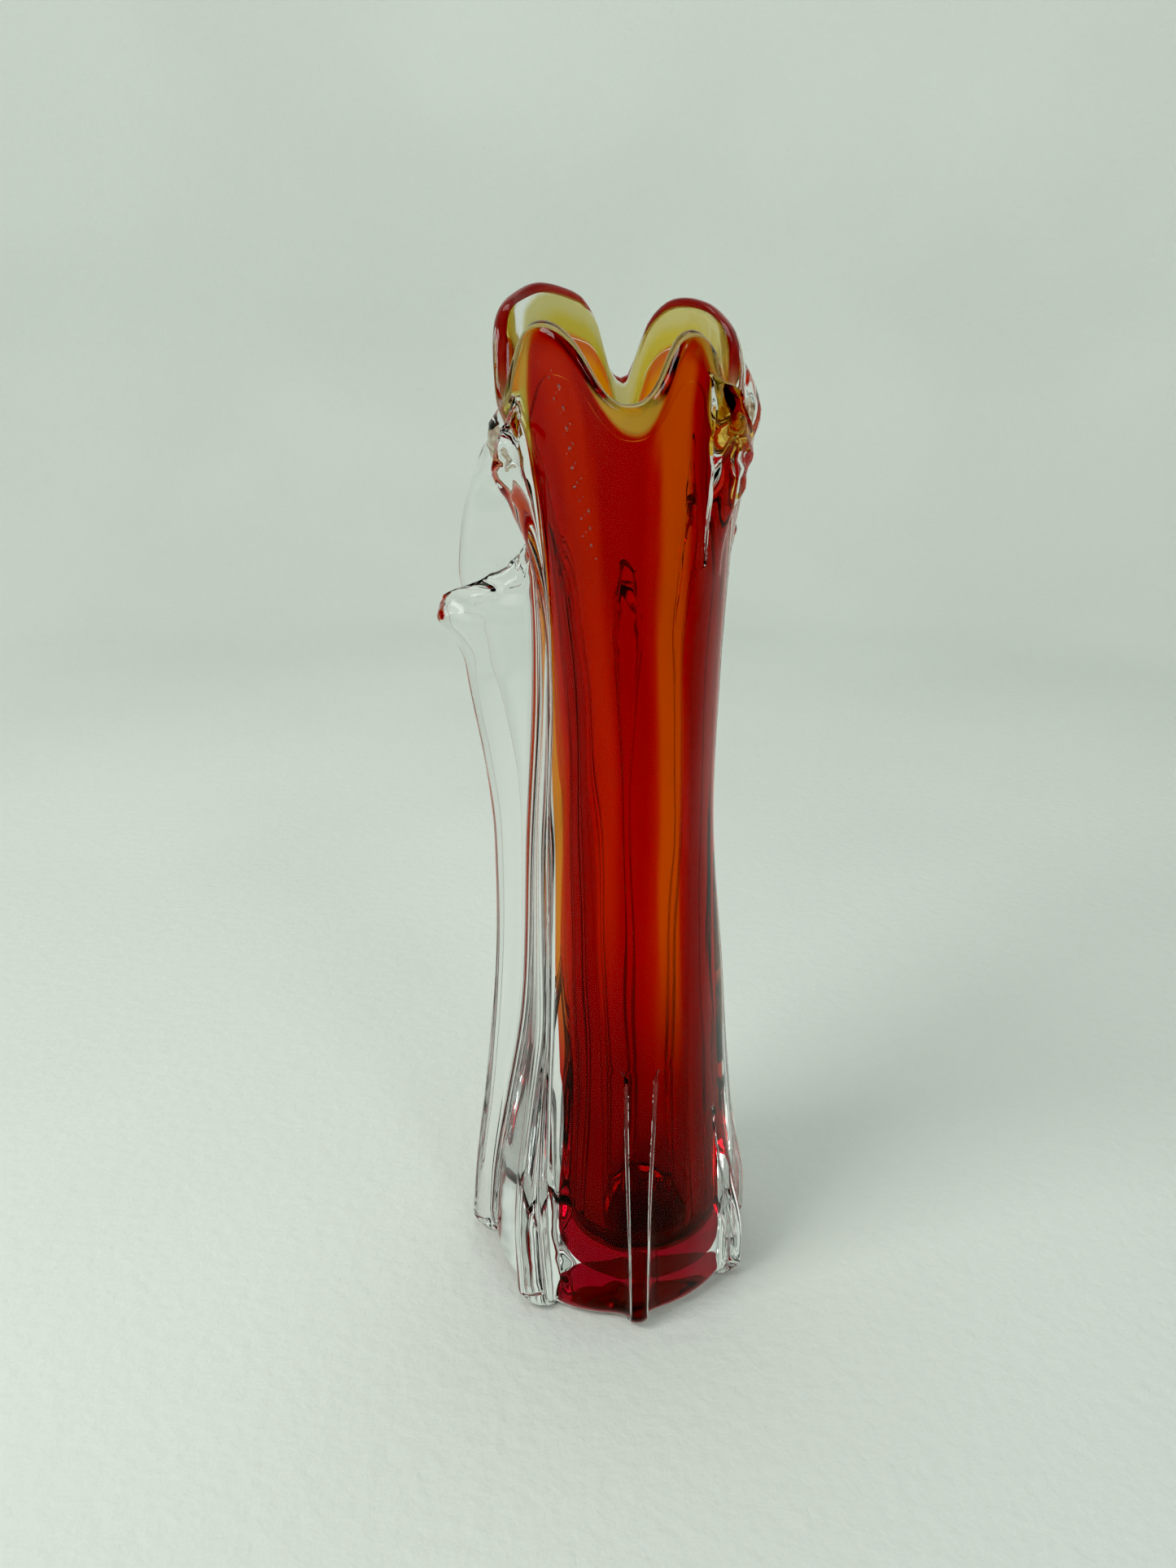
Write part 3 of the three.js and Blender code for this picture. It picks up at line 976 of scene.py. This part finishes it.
@dataclass
class RedEdge(ColourShell):
    """The line of red that runs just under the mouth's crest, slimmer at the front, where it is pale: partly
    pale glass and partly a painted highlight along the lip.
    """

    finish: EdgeFinish = field(default_factory=EdgeFinish)
    radius: float = 33.2
    height: float = 298.0
    half_width: float = 1.4
    half_height: float = 0.8
    front_share: float = 0.4

    def build(self) -> bpy.types.Object:
        """Builds the piece and returns its object."""
        profile = [
            (self.radius + self.half_width * math.cos(a), self.height + self.half_height * math.sin(a))
            for a in (i / 12 * math.tau for i in range(12))
        ]
        bm = self.shell("red edge", profile, closed=True)
        east, south = bm.verts.layers.float["east"], bm.verts.layers.float["south"]
        for vert in bm.verts:
            azimuth = math.degrees(math.atan2(vert[east], vert[south]))
            share = self.front_share + (1 - self.front_share) * smooth(60, 84, abs(azimuth))
            middle = self.form.middle(self.height, True)
            middle += Vector((vert[east] * self.radius, -vert[south] * self.radius, 0))
            middle.z = self.form.raised(self.height, azimuth)
            vert.co = (middle * MM).lerp(vert.co, share)
        return finish_piece("red_edge", bm, self.finish.material(), ("red_edge",))


@dataclass(frozen=True)
class Lump:
    """A lump of colour or a bubble of air in the clear glass.

    Attributes:
        azimuth: the direction that it lies in.
        z: height of its middle before the pull.
        out: how far its middle lies out of the wall.
        lift: how far it is drawn up.
        half: its half sizes across, outward and up.
    """

    azimuth: float
    z: float
    out: float
    lift: float
    half: tuple[float, float, float]


@dataclass
class Inclusions:
    """Lumps of colour, or bubbles of air, caught in the clear glass."""

    form: Form
    name: str
    slot: str
    lumps: tuple[Lump, ...]
    finish: SwirlFinish | SeedFinish
    unevenness: float = 0.35
    detail: int = 4

    def place(self, lump: Lump, unit: Vector) -> Vector:
        """The point of a lump, in millimetres, that a point of a sphere of radius 1 becomes."""
        swell = 1 + self.unevenness * noise.noise(unit * 1.7 + Vector((lump.azimuth, lump.z, 0)))
        side, out, up = (swell * u * h for u, h in zip(unit, lump.half))
        z = lump.z + up
        radial, along = directions(lump.azimuth)
        radius = through(self.form.outer)(z) + lump.out + out
        point = self.form.middle(z, False) + radial * radius + along * side
        return Vector((point.x, point.y, self.form.raised(z, lump.azimuth) + lump.lift))

    def build(self) -> bpy.types.Object:
        """Builds the piece and returns its object."""
        bm = bmesh.new()
        for lump in self.lumps:
            ball = bmesh.ops.create_icosphere(bm, subdivisions=self.detail, radius=1.0)
            for vert in ball["verts"]:
                vert.co = self.place(lump, vert.co) * MM
        return finish_piece(self.name, bm, self.finish.material(self.name), ())


def seeds(count: int = 30) -> tuple[Lump, ...]:
    """A given number of small bubbles, scattered down the flame at the front left."""
    golden = 0.618034
    smallest, growth, length = 0.16, 0.3, 1.3
    start, turn, spread = -37, 12, 9
    top, fall = 292, 40
    made = []
    for i in range(count):
        along = i / count
        across, deep, size = (i * golden) % 1, (i * golden * golden) % 1, (i * 7 * golden) % 1
        half = smallest + growth * size ** 2
        azimuth = start + turn * along + spread * (across - 0.5)
        made.append(Lump(azimuth, top - fall * along, -1.2 - 2 * deep, 0, (half, half, half * length)))
    return tuple(made)


AMBER_LUMPS = (
    Lump(50, 280.5, 3.6, 5.0, (5.4, 3.6, 6.2)),
    Lump(61, 273, 0.6, 1.0, (3.0, 1.8, 4.4)),
)
SMOKY_LUMPS = (
    Lump(90, 281.5, 1.6, 2.4, (2.8, 2.6, 4.6)),
    Lump(-103, 271.5, 8.6, 1.5, (2.6, 3.0, 3.4)),
)


# -------- stage


@dataclass
class Studio:
    """The floor, the sweep round it, the lights and the camera.

    Lengths are in metres, the camera's tilt is degrees below level, and its lens is in millimetres.
    """

    floor: PlasterFinish = PlasterFinish("pale_floor", (0.80, 0.84, 0.80))
    sweep_radius: float = 1.3
    sweep_height: float = 1.9
    sweep_round: float = 0.35
    floor_gap: float = 0.0001
    sky: float = 0.31
    camera_place: Point = (-0.00973, -0.35935, 0.317)
    camera_tilt: float = 21.0
    camera_lens: float = 27.03
    black: float = 0.014

    def build(self) -> None:
        """Builds the stage."""
        self.build_sweep()
        self.build_lights()
        self.build_camera()
        self.set_view()

    def build_sweep(self) -> None:
        """A plain floor that turns up into a wall all round."""
        profile = [(0.0, 0.0), (0.4, 0.0), (0.8, 0.0)]
        for i in range(13):
            a = i / 12 * math.pi / 2
            radius = self.sweep_radius - self.sweep_round * (1 - math.sin(a))
            profile.append((radius, self.sweep_round * (1 - math.cos(a))))
        profile.append((self.sweep_radius, self.sweep_height))
        bm = spun("sweep", [(r / MM, z / MM) for r, z in profile], 96, closed=False)
        bmesh.ops.remove_doubles(bm, verts=bm.verts[:], dist=1e-5)
        bmesh.ops.translate(bm, verts=bm.verts[:], vec=(0, 0, -self.floor_gap))
        mesh_object("sweep", bm, self.floor.material())

    def area(self, name: str, place: Point, target: Point, size: float, power: float, colour: Colour) -> None:
        """Adds a soft light of a side and a power in watts at a place, facing a target."""
        data = bpy.data.lights.new(name, "AREA")
        data.size = size
        data.energy = power
        data.color = colour
        light = bpy.data.objects.new(name, data)
        light.location = place
        light.rotation_euler = (Vector(target) - Vector(place)).to_track_quat("-Z", "Y").to_euler()
        bpy.context.scene.collection.objects.link(light)

    def build_lights(self) -> None:
        """A large key from the left, a small fill, a light on the wall behind and a pale sky."""
        centre = (0.0, 0.0, 0.16)
        self.area("key", (-0.75, -0.45, 1.05), centre, 0.55, 8.0, (1.0, 0.98, 0.95))
        self.area("fill", (0.5, -0.8, 1.1), centre, 0.25, 1.6, (0.93, 0.97, 1.0))
        self.area("wall", (0.0, 0.45, 1.7), (0.0, 1.3, 0.6), 0.8, 4.2, (0.97, 1.0, 0.98))
        world = bpy.data.worlds.new("room")
        world.use_nodes = True
        background = world.node_tree.nodes["Background"]
        background.inputs[0].default_value = (0.86, 0.93, 0.90, 1.0)
        background.inputs[1].default_value = self.sky
        bpy.context.scene.world = world

    def build_camera(self) -> None:
        """The camera, at the height of the mouth and looking down at the vase."""
        data = bpy.data.cameras.new("camera")
        data.sensor_width = 36.0
        data.lens = self.camera_lens
        data.clip_start = 0.01
        data.clip_end = 20.0
        camera = bpy.data.objects.new("camera", data)
        camera.location = self.camera_place
        camera.rotation_euler = (math.radians(90 - self.camera_tilt), 0.0, 0.0)
        bpy.context.scene.collection.objects.link(camera)
        bpy.context.scene.camera = camera

    def set_view(self) -> None:
        """Deep blacks, and enough bounces for light to pass through all the glass."""
        scene = bpy.context.scene
        scene.view_settings.view_transform = "Standard"
        scene.view_settings.use_curve_mapping = True
        scene.view_settings.curve_mapping.black_level = (self.black,) * 3
        scene.view_settings.curve_mapping.update()
        scene.cycles.max_bounces = 40
        scene.cycles.transmission_bounces = 36
        scene.cycles.sample_clamp_indirect = 1.5


def main() -> None:
    """Builds the vase and its stage in order."""
    logging.basicConfig(level=logging.INFO, format="%(name)s: %(message)s")
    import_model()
    form = Form()
    smoke = SwirlFinish((0.86, 0.80, 0.72), (0.70, 0.58, 0.48), (0.50, 0.32, 0.24))
    for part in (
        FusedGlass(form), ColourBubble(form), YellowCollar(form), RedEdge(form),
        Inclusions(form, "amber_swirl", "yellow_glass", AMBER_LUMPS, SwirlFinish()),
        Inclusions(form, "smoky_swirl", "crimson_glass", SMOKY_LUMPS, smoke),
        Inclusions(form, "seed_bubbles", "clear_glass", seeds(), SeedFinish(), detail=2),
    ):
        part.build()
    Studio().build()


if __name__ == "__main__":
    main()
